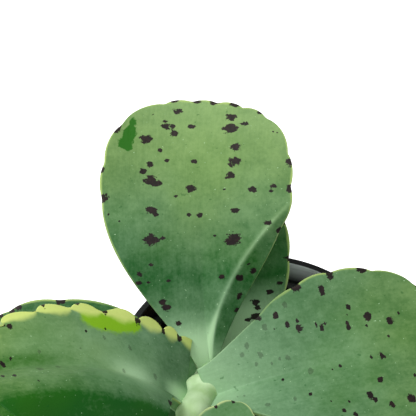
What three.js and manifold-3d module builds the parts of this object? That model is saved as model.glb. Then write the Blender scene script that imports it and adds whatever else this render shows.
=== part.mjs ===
// A potted succulent: a leaning stem with six opposite pairs of fleshy, round-toothed leaves,
// planted in a round black nursery pot of potting mix.
// Millimetres, +Z up. The origin is the middle of the pot's flat underside.
import * as THREE from 'three';
import { ParametricGeometry } from 'three/addons/geometries/ParametricGeometry.js';
import { mergeVertices } from 'three/addons/utils/BufferGeometryUtils.js';
import Module from 'manifold-3d';

const wasm = await Module();
wasm.setup();

// Driving dimensions of the pot
const RIM_RADIUS = 51;
const COLLAR_RADIUS = 49.8;
const SHOULDER_RADIUS = 46.6;
const FOOT_RADIUS = 35;
const POT_HEIGHT = 90;
const COLLAR_HEIGHT = 13;
const LIP_HEIGHT = 1.6;
const LIP_CHAMFER = 0.4;
const FOOT_CHAMFER = 1;
const COLLAR_DRAFT = 0.5;
const STEP_RISE = 1;
const WALL = 1.2;
const FLOOR = 1.8;
const POT_SIDES = 56;
const DRAIN_HOLES = 6;
const DRAIN_RADIUS = 4;
const DRAIN_RING = 25;
const DRAIN_SIDES = 16;

// Driving dimensions of the potting mix and the feed grains on it
const SOIL_LEVEL = 75;
const SOIL_BUMP = 0.7;
const SOIL_WAVES = [0.31, 0.27];
const SOIL_RIPPLES = [0.7, 0.6];
const SOIL_RINGS = 7;
const SOIL_SIDES = 36;
const GRAIN_RADIUS = 1.3;
const GRAIN_DROP = 5;
const GRAIN_DROP_STEPS = 6;
const GRAIN_PLACES = [[-28.6, 28.2], [-25.8, 26.4], [-31, 8], [21, 27], [30, 14], [8, 37], [26, -20]];

// Clearance between pieces that touch
const GAP = 0.3;

// The stem's middle line, from inside the potting mix up to the growing tip
const STEM_LINE = [
  [-3, 4, 62], [-6, 2, 76], [-10, -1, 86], [-14, -4, 95], [-17, -8, 103],
  [-20, -19, 112.5], [-25, -33, 118], [-30, -46, 122.5], [-32, -53, 128],
];
const STEM_RADIUS = 5.4;
const STEM_TIP_RADIUS = 3;
const STEM_SWELLING = 0.35;
const STEM_SIDES = 14;
const STEM_STEPS = 26;

// Shape that all blades share: the share of rows below the widest place, how square the margin's
// edge is, and the thickness in the middle of the base and of the tip
const LOWER_ROWS = 0.62;
const MARGIN_POWER = 6;
const PADDING_POWER = 40;
const BASE_THICK = 4.2;
const TIP_THICK = 2;
const MIDRIB_STEPS = 60;
const FINE_GRID = [12, 20];
const PLAIN_GRID = [10, 12];

// Each leaf: where it leaves the stem, its compass direction (turn) and climb (rise) there in degrees,
// how much both change on the way to the tip (sway, arch), its length and half widths, the angle of its
// halves at the midrib (valley) and how much they curl from there to the margin, the extra fold that
// clasps the stem, the width at the base (waist), how slowly the blade widens (swell), where it is
// widest, how square its round end is, its roll about the midrib and its thickness. Values in pairs are
// for the left and the right half, seen from the base.
const BIG_LEAF = {
  sway: 0, arch: -24, length: 90, half: [31, 31], valley: [2, 2], curl: [12, 12], clasp: 25,
  waist: [0.16, 0.16], swell: [1.35, 1.35], widest: 0.66, square: 2.4, roll: 0, thick: 1, grid: FINE_GRID,
};
const LOW_LEAF = { ...BIG_LEAF, length: 82, half: [29, 29], grid: PLAIN_GRID };
const YOUNG_LEAF = {
  ...BIG_LEAF, length: 31, half: [12, 12], curl: [18, 18], clasp: 20, waist: [0.3, 0.3], thick: 0.8,
  grid: PLAIN_GRID,
};
const TIP_LEAF = { ...YOUNG_LEAF, length: 15, half: [5.5, 5.5], arch: -10, curl: [30, 30], thick: 0.55 };
const LEAVES = {
  leaf_right: {
    ...BIG_LEAF, base: [-18, -19, 113], turn: 11, sway: -2, rise: 20, arch: -18, length: 81, half: [29.5, 31],
    valley: [0, 0], curl: [14, 14], clasp: 40, waist: [0.34, 0.2], swell: [1.6, 1.35], widest: 0.6, roll: 2,
  },
  leaf_left: {
    ...BIG_LEAF, base: [-24, -22, 112.5], turn: 176.6, sway: 30, rise: 58.8, arch: -50, length: 84,
    half: [37, 25], valley: [36, 5], curl: [-110, 10], clasp: 4, waist: [0.05, 1], swell: [5, 0.88],
    widest: 0.38, square: 2.2, roll: 15,
  },
  leaf_back: {
    ...BIG_LEAF, base: [-17, -5, 102], turn: 99, sway: -16, rise: 46, arch: -26, length: 93.5, half: [34, 31],
    valley: [0, 0], curl: [10, 10], waist: [0.1, 0.1], swell: [1.55, 1.55], square: 2.7, roll: -7,
  },
  leaf_front: { ...BIG_LEAF, base: [-17, -16, 103], turn: 268, rise: 13, arch: -22, grid: PLAIN_GRID },
  leaf_left_lower: {
    ...LOW_LEAF, base: [-16, -7, 92], turn: 169, sway: 23, rise: 11, arch: -14, half: [31, 28.5],
    curl: [14, 14], swell: [0.9, 0.9], widest: 0.67,
  },
  leaf_right_lower: { ...LOW_LEAF, base: [-11, -8, 93], turn: 352, rise: 20, arch: -26 },
  leaf_back_lower: {
    ...LOW_LEAF, base: [-8, 1, 84], turn: 98, sway: -4, rise: 38, arch: -24, length: 73.5, half: [27, 23.5],
    valley: [4, 4], curl: [14, 14], widest: 0.6,
  },
  leaf_front_lower: { ...LOW_LEAF, base: [-9, -4, 84], turn: 296, rise: 30, arch: -40, length: 76 },
  young_leaf_back: {
    ...YOUNG_LEAF, base: [-29, -47, 120.8], turn: 25, rise: 20, arch: -22, half: [11, 12.5],
  },
  young_leaf_front: { ...YOUNG_LEAF, base: [-33, -45, 122], turn: 205, rise: 34, arch: -26, length: 36 },
  tip_leaf_left: { ...TIP_LEAF, base: [-32, -53, 125.5], turn: 290, rise: 50 },
  tip_leaf_right: { ...TIP_LEAF, base: [-33, -51, 127], turn: 110, rise: 62 },
};

const [LEFT, RIGHT] = [0, 1];
const degrees = THREE.MathUtils.degToRad;
const lerp = THREE.MathUtils.lerp;

// Middle line of a leaf with its sideways and upward directions, walked in short steps
function midribOf(leaf) {
  const line = [];
  const at = new THREE.Vector3(...leaf.base);
  for (let step = 0; step <= MIDRIB_STEPS; step++) {
    const share = step / MIDRIB_STEPS;
    const turn = degrees(leaf.turn + leaf.sway * share);
    const rise = degrees(leaf.rise + leaf.arch * share);
    const ahead = new THREE.Vector3(
      Math.cos(rise) * Math.cos(turn), Math.cos(rise) * Math.sin(turn), Math.sin(rise));
    const side = new THREE.Vector3(-Math.sin(turn), Math.cos(turn), 0);
    side.applyAxisAngle(ahead, degrees(leaf.roll));
    const up = new THREE.Vector3().crossVectors(ahead, side);
    line.push({ at: at.clone(), side, up });
    at.addScaledVector(ahead, leaf.length / MIDRIB_STEPS);
  }
  return line;
}

// Place on the flat outline for a column (-1 right margin to 1 left margin) and a row (0 base to 1 tip).
// Above the widest place the grid is a square pressed into a half round, so the last row is the tip's margin.
function flatPlace(leaf, column, row) {
  const hand = column < 0 ? RIGHT : LEFT;
  const half = leaf.half[hand];
  const widestAt = leaf.widest * leaf.length;
  if (row <= LOWER_ROWS) {
    const share = row / LOWER_ROWS;
    const widening = Math.sin(Math.PI / 2 * share) ** leaf.swell[hand];
    const across = column * half * lerp(leaf.waist[hand], 1, widening);
    return { along: widestAt * share, across, edge: Math.abs(column) };
  }
  const climb = (row - LOWER_ROWS) / (1 - LOWER_ROWS);
  let x = column * Math.sqrt(1 - climb * climb / 2);
  let y = climb * Math.sqrt(1 - column * column / 2);
  const reach = Math.hypot(x, y);
  const power = leaf.square;
  const squared = ((Math.abs(x) / reach) ** power + (y / reach) ** power) ** (-1 / power);
  const stretch = 1 + (squared - 1) * reach * reach;
  x *= stretch;
  y *= stretch;
  const along = widestAt + (leaf.length - widestAt) * y;
  return { along, across: x * half, edge: Math.max(Math.abs(column), climb) };
}

// Point of the upper face above that flat place, and the direction square to the face
function facePoint(leaf, midrib, along, across) {
  const share = THREE.MathUtils.clamp(along / leaf.length, 0, 1);
  const place = along / leaf.length * MIDRIB_STEPS;
  const step = THREE.MathUtils.clamp(Math.floor(place), 0, MIDRIB_STEPS - 1);
  const at = midrib[step].at.clone().lerp(midrib[step + 1].at, place - step);
  const side = midrib[step].side.clone().lerp(midrib[step + 1].side, place - step);
  const up = midrib[step].up.clone().lerp(midrib[step + 1].up, place - step);
  const hand = across < 0 ? RIGHT : LEFT;
  const half = leaf.half[hand];
  const outward = Math.sign(across);
  const width = Math.abs(across) / half;
  const start = degrees(leaf.valley[hand] + leaf.clasp * (1 - share) ** 2);
  const curl = degrees(leaf.curl[hand]);
  const end = start + curl * width;
  const sideways = half * (Math.sin(end) - Math.sin(start)) / curl;
  const upwards = half * (Math.cos(start) - Math.cos(end)) / curl;
  const point = at.addScaledVector(side, outward * sideways).addScaledVector(up, upwards);
  const square = up.multiplyScalar(Math.cos(end)).addScaledVector(side, -outward * Math.sin(end));
  return { point, square, share };
}

// Closed solid of a leaf. One turn of `around` goes across the upper face and back along the lower one.
// A positive growth gives the same leaf a little larger all round, to cut its neighbours with.
function leafGeometry(leaf, growth = 0) {
  const [columns, rows] = leaf.grid;
  const midrib = midribOf(leaf);
  const wider = 1 + 2 * growth / (leaf.half[LEFT] + leaf.half[RIGHT]);
  const longer = 1 + 2 * growth / leaf.length;
  const skin = (around, row, target) => {
    const upper = around <= 0.5;
    const sweep = upper ? around * 2 : 2 - around * 2;
    const column = Math.sin(Math.PI * (0.5 - sweep));
    const layer = Math.max(0, (row * (rows + 1) - 1) / rows);
    const { along, across, edge } = flatPlace(leaf, column, layer);
    const { point, square, share } = facePoint(leaf, midrib, along * longer - growth, across * wider);
    const fullness = Math.sqrt(Math.max(0, 1 - edge ** MARGIN_POWER));
    const padding = growth * Math.sqrt(Math.max(0, 1 - edge ** PADDING_POWER));
    const thick = leaf.thick * lerp(BASE_THICK, TIP_THICK, share) * fullness;
    const offset = upper ? padding : -thick - padding;
    target.copy(point.addScaledVector(square, row === 0 ? -BASE_THICK * leaf.thick / 2 : offset));
  };
  return new ParametricGeometry(skin, columns * 2, rows + 1);
}

// Closed round stem along its middle line, a little swollen where a pair of leaves leaves it
function stemGeometry(growth = 0) {
  const curve = new THREE.CatmullRomCurve3(STEM_LINE.map((place) => new THREE.Vector3(...place)));
  const frames = curve.computeFrenetFrames(STEM_STEPS, false);
  const skin = (around, along, target) => {
    const step = Math.round(along * STEM_STEPS);
    const end = step === 0 || step === STEM_STEPS;
    const lengthening = (step === 0 ? -2 : 2) * growth * (end ? 1 : 0);
    const middle = curve.getPointAt(along).addScaledVector(curve.getTangentAt(along), lengthening);
    const swelling = STEM_SWELLING * Math.cos(along * Math.PI * STEM_LINE.length);
    const radius = end ? 0 : lerp(STEM_RADIUS, STEM_TIP_RADIUS, along ** 3) + swelling + growth;
    const angle = around * Math.PI * 2;
    target.copy(middle)
      .addScaledVector(frames.normals[step], radius * Math.cos(angle))
      .addScaledVector(frames.binormals[step], radius * Math.sin(angle));
  };
  return new ParametricGeometry(skin, STEM_SIDES, STEM_STEPS);
}

// Closed solid from an outline of radius and height pairs, turned about the pot's axis
function turned(outline, sides) {
  const profile = outline.map(([radius, height]) => new THREE.Vector2(radius, height));
  return new THREE.LatheGeometry(profile, sides).rotateX(Math.PI / 2);
}

// Pot wall as one turned outline: up the outside, over the lip, down the inside to the floor
function potGeometry() {
  const shoulder = POT_HEIGHT - COLLAR_HEIGHT;
  const lip = POT_HEIGHT - LIP_HEIGHT;
  const collarFoot = COLLAR_RADIUS - COLLAR_DRAFT;
  const outline = [
    [0, 0], [FOOT_RADIUS - FOOT_CHAMFER, 0], [FOOT_RADIUS, FOOT_CHAMFER],
    [SHOULDER_RADIUS, shoulder], [collarFoot, shoulder + STEP_RISE],
    [COLLAR_RADIUS, lip], [RIM_RADIUS, lip + LIP_CHAMFER],
    [RIM_RADIUS, POT_HEIGHT - LIP_CHAMFER], [RIM_RADIUS - LIP_CHAMFER, POT_HEIGHT],
    [COLLAR_RADIUS - WALL, POT_HEIGHT], [collarFoot - WALL, shoulder + STEP_RISE + WALL],
    [SHOULDER_RADIUS - WALL, shoulder + WALL], [FOOT_RADIUS - WALL, FLOOR + FOOT_CHAMFER],
    [FOOT_RADIUS - WALL - FOOT_CHAMFER, FLOOR], [0, FLOOR],
  ];
  return turned(outline, POT_SIDES);
}

function drainHoleGeometry(index) {
  const angle = index / DRAIN_HOLES * Math.PI * 2;
  return new THREE.CylinderGeometry(DRAIN_RADIUS, DRAIN_RADIUS, FLOOR * 4, DRAIN_SIDES)
    .rotateX(Math.PI / 2)
    .translate(DRAIN_RING * Math.cos(angle), DRAIN_RING * Math.sin(angle), 0);
}

// Inner radius of the pot's wall at a height below its collar
function wallRadius(height) {
  const shoulder = POT_HEIGHT - COLLAR_HEIGHT;
  const share = (height - FOOT_CHAMFER) / (shoulder - FOOT_CHAMFER);
  return lerp(FOOT_RADIUS, SHOULDER_RADIUS, share) - WALL;
}

// Height of the uneven top of the potting mix: long waves with short ones across them
function soilHeight(x, y) {
  const long = Math.sin(x * SOIL_WAVES[0] + 1) * Math.cos(y * SOIL_WAVES[1]);
  const short = Math.sin(x * SOIL_RIPPLES[0] - y * SOIL_RIPPLES[1]);
  return SOIL_LEVEL + SOIL_BUMP * (long + short / 2);
}

// Ball of potting mix: flat below, along the wall with a small gap, uneven on top
function soilGeometry() {
  const base = FLOOR + GAP;
  const slack = GAP * 2;
  const topRadius = wallRadius(SOIL_LEVEL - SOIL_BUMP * 2) - slack;
  const foot = FLOOR + 2 * FOOT_CHAMFER;
  const footRadius = wallRadius(foot) - slack;
  const outline = [[0, base], [footRadius - FOOT_CHAMFER, base], [footRadius, foot]];
  for (let ring = SOIL_RINGS; ring >= 0; ring--) {
    outline.push([topRadius * ring / SOIL_RINGS, SOIL_LEVEL]);
  }
  const geometry = turned(outline, SOIL_SIDES);
  const places = geometry.attributes.position;
  for (let i = 0; i < places.count; i++) {
    if (places.getZ(i) > SOIL_LEVEL - 1) {
      places.setZ(i, soilHeight(places.getX(i), places.getY(i)));
    }
  }
  return geometry;
}

function grainGeometry() {
  return new THREE.IcosahedronGeometry(GRAIN_RADIUS, 1);
}

// Solid for cutting, from a closed geometry
function solidOf(geometry) {
  const bare = geometry.clone();
  bare.deleteAttribute('normal');
  bare.deleteAttribute('uv');
  const merged = mergeVertices(bare, 1e-4);
  const everyCorner = [...Array(merged.attributes.position.count).keys()];
  const corners = merged.index ? [...merged.index.array] : everyCorner;
  const triangles = [];
  for (let i = 0; i < corners.length; i += 3) {
    const [a, b, c] = corners.slice(i, i + 3);
    if (a !== b && b !== c && c !== a) {
      triangles.push(a, b, c);
    }
  }
  return new wasm.Manifold(new wasm.Mesh({
    numProp: 3,
    vertProperties: new Float32Array(merged.attributes.position.array),
    triVerts: new Uint32Array(triangles),
  }));
}

// The largest piece of a cut solid, as a geometry
function geometryOf(solid) {
  const pieces = solid.decompose().sort((a, b) => b.volume() - a.volume());
  const mesh = pieces[0].getMesh();
  const geometry = new THREE.BufferGeometry();
  geometry.setAttribute('position', new THREE.BufferAttribute(mesh.vertProperties, 3));
  geometry.setIndex(new THREE.BufferAttribute(mesh.triVerts, 1));
  geometry.computeVertexNormals();
  return geometry;
}

const POT_BLACK = new THREE.MeshStandardMaterial({ color: 0x1a1b1d, roughness: 0.38, metalness: 0 });
const SOIL_BROWN = new THREE.MeshStandardMaterial({ color: 0x1c140e, roughness: 0.95, metalness: 0 });
const STEM_GREEN = new THREE.MeshStandardMaterial({ color: 0xa9c79a, roughness: 0.6, metalness: 0 });
const LEAF_GREEN = new THREE.MeshStandardMaterial({ color: 0x5f9a62, roughness: 0.55, metalness: 0 });
const LOWER_LEAF_GREEN = new THREE.MeshStandardMaterial({ color: 0x2f7a26, roughness: 0.5, metalness: 0 });
const YOUNG_LEAF_GREEN = new THREE.MeshStandardMaterial({ color: 0x86b586, roughness: 0.55, metalness: 0 });
const GRAIN_YELLOW = new THREE.MeshStandardMaterial({ color: 0xb98a1c, roughness: 0.45, metalness: 0 });

function leafMaterial(name) {
  if (name.endsWith('_lower')) {
    return LOWER_LEAF_GREEN;
  }
  return name.startsWith('leaf') ? LEAF_GREEN : YOUNG_LEAF_GREEN;
}

const plant = new THREE.Group();

function addPiece(name, geometry, material) {
  const mesh = new THREE.Mesh(geometry, material.clone());
  mesh.name = name;
  plant.add(mesh);
  return mesh;
}

let pot = solidOf(potGeometry());
for (let index = 0; index < DRAIN_HOLES; index++) {
  pot = pot.subtract(solidOf(drainHoleGeometry(index)));
}
addPiece('pot', geometryOf(pot), POT_BLACK);

const stemAndGap = solidOf(stemGeometry(GAP));
const soil = solidOf(soilGeometry()).subtract(stemAndGap);
addPiece('soil', geometryOf(soil), SOIL_BROWN);
addPiece('stem', stemGeometry(), STEM_GREEN);

// Leaves are seated on the stem in this order, and each one makes room for those already there
const seated = [];
for (const [name, leaf] of Object.entries(LEAVES)) {
  let solid = solidOf(leafGeometry(leaf)).subtract(stemAndGap);
  for (const neighbour of seated) {
    solid = solid.subtract(neighbour);
  }
  addPiece(name, geometryOf(solid), leafMaterial(name));
  seated.push(solidOf(leafGeometry(leaf, GAP)));
}

// Feed grains, each let down from above until it rests on the potting mix
GRAIN_PLACES.forEach(([x, y], index) => {
  let height = SOIL_LEVEL + GRAIN_DROP;
  for (let step = 0; step < GRAIN_DROP_STEPS; step++) {
    const held = solidOf(grainGeometry().translate(x, y, height));
    height -= soil.minGap(held, GRAIN_DROP) - GAP;
  }
  const grain = addPiece(`feed_grain_${index + 1}`, grainGeometry(), GRAIN_YELLOW);
  grain.position.set(x, y, height);
});

export default plant;
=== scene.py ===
# %% [markdown]
# A potted pen-wiper plant: fleshy round leaves in crossed pairs on a leaning stem, in a black nursery pot.
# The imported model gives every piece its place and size. This lesson dresses those pieces: each leaf gets
# a finer skin with a scalloped margin, its waxy bloom and its purple-black blotches, the pot its moulded
# lip, and the potting mix its crumbs. Everything is in metres, with +Z up, in the model's own frame.

# %% Load the frame
import math
import random

import bmesh
import bpy
import numpy as np
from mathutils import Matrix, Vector
from mathutils.bvhtree import BVHTree


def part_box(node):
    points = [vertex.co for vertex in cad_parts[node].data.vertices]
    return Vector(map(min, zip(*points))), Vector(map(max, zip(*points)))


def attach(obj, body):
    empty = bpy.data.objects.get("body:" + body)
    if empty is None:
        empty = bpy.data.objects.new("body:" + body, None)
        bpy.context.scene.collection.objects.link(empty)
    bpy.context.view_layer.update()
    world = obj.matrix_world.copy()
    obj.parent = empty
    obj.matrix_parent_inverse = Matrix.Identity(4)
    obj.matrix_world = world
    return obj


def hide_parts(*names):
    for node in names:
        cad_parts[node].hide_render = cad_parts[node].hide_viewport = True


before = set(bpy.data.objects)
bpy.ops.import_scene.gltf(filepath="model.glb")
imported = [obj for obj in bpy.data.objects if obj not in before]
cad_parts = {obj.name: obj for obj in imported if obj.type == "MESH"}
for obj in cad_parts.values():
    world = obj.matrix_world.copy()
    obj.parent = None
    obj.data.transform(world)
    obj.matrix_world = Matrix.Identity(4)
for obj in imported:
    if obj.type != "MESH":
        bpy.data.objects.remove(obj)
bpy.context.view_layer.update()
MM = 0.001
print("pieces in the frame:", len(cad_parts))

# %% [markdown]
# The camera looks down on the plant at 56 degrees from the front, close enough that the pot's foot is
# hidden. The two short arcs of the rim that are seen give the scale and the aim, once a height and a
# distance are chosen. They fit heights from 48 to 64 degrees almost equally well, so 56 degrees and
# 600 mm are a choice. The camera is made first, because some marks on the leaves are placed by the
# pixel of the photograph in which they are seen.

# %% Camera
PHOTO_SIZE = 416
ELEVATION = math.radians(56)
CAMERA_DISTANCE = 0.6
AIM = Vector((-17.9, 57.7, 110)) * MM
PIXELS_PER_METRE = 2835
NEAREST_SEEN = 0.01
LOOK = Vector((0, math.cos(ELEVATION), -math.sin(ELEVATION)))
CAMERA_UP = Vector((0, math.sin(ELEVATION), math.cos(ELEVATION)))
CAMERA_PLACE = AIM - LOOK * CAMERA_DISTANCE

camera_data = bpy.data.cameras.new("camera")
camera_data.angle = 2 * math.atan(PHOTO_SIZE / 2 / PIXELS_PER_METRE / CAMERA_DISTANCE)
camera_data.clip_start = NEAREST_SEEN
camera = bpy.data.objects.new("camera", camera_data)
camera.location = CAMERA_PLACE
camera.rotation_euler = (math.pi / 2 - ELEVATION, 0, 0)
bpy.context.scene.collection.objects.link(camera)
bpy.context.scene.camera = camera


def sight_line(pixel):
    """Direction from the camera through a pixel of the photograph."""
    right = Vector((1, 0, 0))
    across = (pixel[0] - PHOTO_SIZE / 2) / PIXELS_PER_METRE / CAMERA_DISTANCE
    down = (pixel[1] - PHOTO_SIZE / 2) / PIXELS_PER_METRE / CAMERA_DISTANCE
    return (LOOK + right * across - CAMERA_UP * down).normalized()


print("field of view:", round(math.degrees(camera_data.angle), 2))

# %% [markdown]
# A white floor under a white sky keeps the surroundings plain. One large lamp from the left and a little
# from behind gives the leaves their soft shading and the folds their dark side, and a wide weak one from
# the front keeps the shadows open.


# %% Floor and light
FLOOR_SIZE = 12
FLOOR_DROP = 0.0005
FLOOR_WHITE = (0.95, 0.95, 0.95, 1)
FLOOR_GLOW = 0.8
SKY_STRENGTH = 0.36
PURE_WHITE = (1, 1, 1, 1)
KEY_LAMP = dict(place=(-0.55, 0.15, 0.95), size=0.4, power=7.4)
FRONT_LAMP = dict(place=(0.0, -0.55, 1.25), size=0.5, power=4)


def deselect_all():
    bpy.ops.object.select_all(action="DESELECT")


def soft_lamp(name, place, size, power):
    """A square lamp that faces the middle of the plant."""
    data = bpy.data.lights.new(name, "AREA")
    data.size = size
    data.energy = power
    lamp = bpy.data.objects.new(name, data)
    lamp.location = place
    lamp.rotation_euler = (AIM - Vector(place)).to_track_quat("-Z", "Y").to_euler()
    bpy.context.scene.collection.objects.link(lamp)


deselect_all()
bpy.ops.mesh.primitive_plane_add(size=FLOOR_SIZE, location=(0, 0, -FLOOR_DROP))
floor = bpy.context.object
floor.name = "floor"
floor_paint = bpy.data.materials.new("floor_paint")
floor_paint.use_nodes = True
floor_shader = floor_paint.node_tree.nodes["Principled BSDF"]
floor_shader.inputs["Base Color"].default_value = FLOOR_WHITE
floor_shader.inputs["Roughness"].default_value = 0.9
floor_shader.inputs["Emission Color"].default_value = PURE_WHITE
floor_shader.inputs["Emission Strength"].default_value = FLOOR_GLOW
floor.data.materials.append(floor_paint)

soft_lamp("key_lamp", **KEY_LAMP)
soft_lamp("front_lamp", **FRONT_LAMP)

sky = bpy.data.worlds.new("sky")
sky.use_nodes = True
sky.node_tree.nodes["Background"].inputs["Color"].default_value = PURE_WHITE
sky.node_tree.nodes["Background"].inputs["Strength"].default_value = SKY_STRENGTH
bpy.context.scene.world = sky
bpy.context.scene.view_settings.view_transform = "Standard"

# %% [markdown]
# Materials are node trees, and a few helpers keep them short. `add` makes a node and sets or links its
# inputs, `mask` turns a number into a soft-edged 0 to 1, and `blend` lays one colour over another.


# %% Node helpers
class Finish:
    """A material under construction."""

    def __init__(self, name, roughness=0.5, **settings):
        self.material = bpy.data.materials.new(name)
        self.material.use_nodes = True
        self.tree = self.material.node_tree
        self.shader = self.tree.nodes["Principled BSDF"]
        self.shader.inputs["Roughness"].default_value = roughness
        for socket, value in settings.items():
            self.shader.inputs[socket.replace("_", " ")].default_value = value

    def put(self, socket, value):
        if isinstance(value, bpy.types.NodeSocket):
            self.tree.links.new(value, socket)
        elif value is not None:
            socket.default_value = value

    def add(self, kind, inputs=(), output=0, **settings):
        node = self.tree.nodes.new("ShaderNode" + kind)
        for key, value in settings.items():
            setattr(node, key, value)
        for key, value in dict(inputs).items():
            self.put(node.inputs[key], value)
        return node.outputs[output]

    def place(self):
        return self.add("TexCoord", output="Object")

    def mark(self, name):
        return self.add("Attribute", output="Fac", attribute_name=name)

    def noise(self, scale, detail=3, where=None, roughness=0.55, distortion=0):
        inputs = {
            "Vector": where or self.place(), "Scale": scale, "Detail": detail,
            "Roughness": roughness, "Distortion": distortion,
        }
        return self.add("TexNoise", inputs)

    def math(self, operation, first, second=0.0, third=0.0, clamp=False):
        inputs = {0: first, 1: second, 2: third}
        return self.add("Math", inputs, operation=operation, use_clamp=clamp)

    def mask(self, value, low, high):
        inputs = {"Value": value, "From Min": low, "From Max": high}
        return self.add("MapRange", inputs, interpolation_type="SMOOTHSTEP")

    def blend(self, share, under, over):
        inputs = {"Fac": share, "Color1": under, "Color2": over}
        return self.add("MixRGB", inputs)

    def finish(self, colour, roughness=None, height=None, depth=0.0003):
        self.put(self.shader.inputs["Base Color"], colour)
        self.put(self.shader.inputs["Roughness"], roughness)
        if height is not None:
            bump = self.add("Bump", {"Height": height, "Distance": depth, "Strength": 1.0})
            self.put(self.shader.inputs["Normal"], bump)
        return self.material


def paint(red, green, blue):
    """A colour for a socket, from its linear parts."""
    return (red, green, blue, 1)


# %% [markdown]
# A leaf of this kind is saturated green flesh under a whitish waxy bloom. The bloom is thin on the old
# lower leaves, rubbed off in bruises, thick in the folds near the base, and it thins into a yellow-green
# line along the margin. Purple pigment sits in ragged blotches and in the notches of the margin. The
# shape code below leaves marks on every vertex, such as how deep it lies inside a blotch, and the
# material roughens those marks with noise, so that no edge is a clean curve. The mark that sets how
# thick the bloom is also carries painted light and shade: a paler base on leaves whose base lies in
# shade, a painted highlight along the crease of the rear leaf, painted shade on its bent strip, and
# painted shade and a painted highlight on the left leaf.

# %% Leaf finish
FLESH = paint(0.005, 0.085, 0.009)
YOUNG_FLESH = paint(0.020, 0.120, 0.004)
BLOOM = paint(0.27, 0.46, 0.26)
MARGIN_YELLOW = paint(0.36, 0.50, 0.15)
YOUNG_MARGIN = paint(0.48, 0.60, 0.26)
UNDERSIDE_GREEN = paint(0.07, 0.2, 0.035)
MARGIN_WIDTH = 0.7
PALE_LOBE = paint(0.60, 0.72, 0.20)
BRUISE = paint(0.012, 0.125, 0.002)
TIP_BLOOM = paint(0.30, 0.46, 0.16)
THICK_BLOOM = paint(0.46, 0.70, 0.41)
GOLDEN = paint(0.22, 0.46, 0.015)
PURPLE = paint(0.010, 0.003, 0.006)
OLD_PURPLE = paint(0.020, 0.007, 0.010)


def leaf_finish(name, flesh, bloom_low, bloom_high, yellow=MARGIN_YELLOW):
    """Waxy skin of a leaf. The waxy cover lies between two shares of the flesh's colour, and a mark on each
    vertex raises or lowers it, for thicker wax and for painted light and shade.
    """
    skin = Finish(name, roughness=0.5, Specular_IOR_Level=0.14)
    streaks_at = skin.add("Mapping", {"Vector": skin.add("UVMap", uv_map="plan"), "Scale": (95, 9, 1)})
    streaks = skin.noise(1, 3, streaks_at)
    clouds = skin.noise(38, 4)
    specks = skin.noise(900, 2)
    cover = skin.math("MULTIPLY_ADD", clouds, 0.9, skin.math("MULTIPLY", streaks, 0.18))
    cover = skin.math("MULTIPLY_ADD", skin.noise(210, 5, roughness=0.7), 0.7, cover)
    cover = skin.math("MULTIPLY_ADD", specks, 0.35, cover)
    cover = skin.mask(cover, 0.72, 1.42)
    cover = skin.math("MULTIPLY_ADD", cover, bloom_high - bloom_low, bloom_low)
    # the leaf's own mark raises or lowers the cover: thicker wax, and painted light and shade
    cover = skin.math("ADD", cover, skin.mark("bloom"), clamp=True)
    ragged = skin.noise(260, 3)
    grain = skin.noise(480, 4, roughness=0.75, distortion=0.6)
    bare = skin.math("ADD", skin.mark("bare"), skin.math("MULTIPLY_ADD", grain, 1.6, -0.8))
    bare = skin.mask(bare, 0.0, 0.3)
    warm = skin.blend(skin.mask(skin.noise(22, 2), 0.42, 0.75), flesh, YOUNG_FLESH)
    ripe = skin.math("MULTIPLY_ADD", skin.noise(30, 3), 60.0, skin.mark("along"))
    wax = skin.blend(skin.mask(ripe, 55.0, 115.0), BLOOM, TIP_BLOOM)
    colour = skin.blend(cover, warm, wax)
    # a high mark turns the colour to pale thick wax; at the bases of the rear leaves this is painted light
    colour = skin.blend(skin.mask(skin.mark("bloom"), 0.5, 1.3), colour, THICK_BLOOM)
    pits = skin.mask(skin.noise(520, 2), 0.69, 0.74)
    colour = skin.blend(skin.math("MULTIPLY", pits, 0.45), colour, flesh)
    salts = skin.mask(skin.noise(1250, 1), 0.745, 0.80)
    colour = skin.blend(skin.math("MULTIPLY", salts, 0.7), colour, THICK_BLOOM)
    colour = skin.blend(skin.math("MULTIPLY", bare, 0.95), colour, BRUISE)
    golden = skin.math("ADD", skin.mark("golden"), skin.math("MULTIPLY_ADD", grain, 1.2, -0.6))
    colour = skin.blend(skin.mask(golden, -0.1, 0.6), colour, GOLDEN)
    wavy = skin.math("MULTIPLY_ADD", skin.noise(140, 2), 1.6, -0.8)
    margin = skin.math("ADD", skin.mark("margin_mm"), wavy)
    rim = skin.math("SUBTRACT", 1.0, skin.mask(margin, MARGIN_WIDTH * 0.2, MARGIN_WIDTH * 1.5))
    rim = skin.math("MULTIPLY", rim, skin.mark("rim"))
    colour = skin.blend(rim, colour, yellow)
    lobe = skin.math("ADD", skin.mark("lobe"), skin.math("MULTIPLY_ADD", ragged, 0.5, -0.25))
    colour = skin.blend(skin.mask(lobe, 0.1, 0.9), colour, PALE_LOBE)
    across_at = skin.add("Mapping", {"Vector": skin.add("UVMap", uv_map="plan"), "Scale": (38, 95, 1)})
    lumps = skin.noise(1, 3, across_at)
    depth = skin.math("MULTIPLY_ADD", grain, 1.9, skin.math("MULTIPLY_ADD", lumps, 1.1, -1.62))
    blotch = skin.math("ADD", skin.mark("blotch"), depth)
    pigment = skin.mask(blotch, 0.02, 0.16)
    faded = skin.mark("faded")
    purple = skin.blend(skin.mask(skin.noise(700, 2), 0.4, 0.7), PURPLE, OLD_PURPLE)
    shown = skin.math("MULTIPLY", pigment, skin.math("SUBTRACT", 0.97, faded))
    colour = skin.blend(shown, colour, purple)
    height = skin.math("MULTIPLY_ADD", specks, 0.2, skin.math("MULTIPLY", streaks, 0.35))
    gloss = skin.math("MULTIPLY_ADD", cover, 0.16, 0.40)
    return skin.finish(colour, gloss, height, 0.00025)


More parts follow.
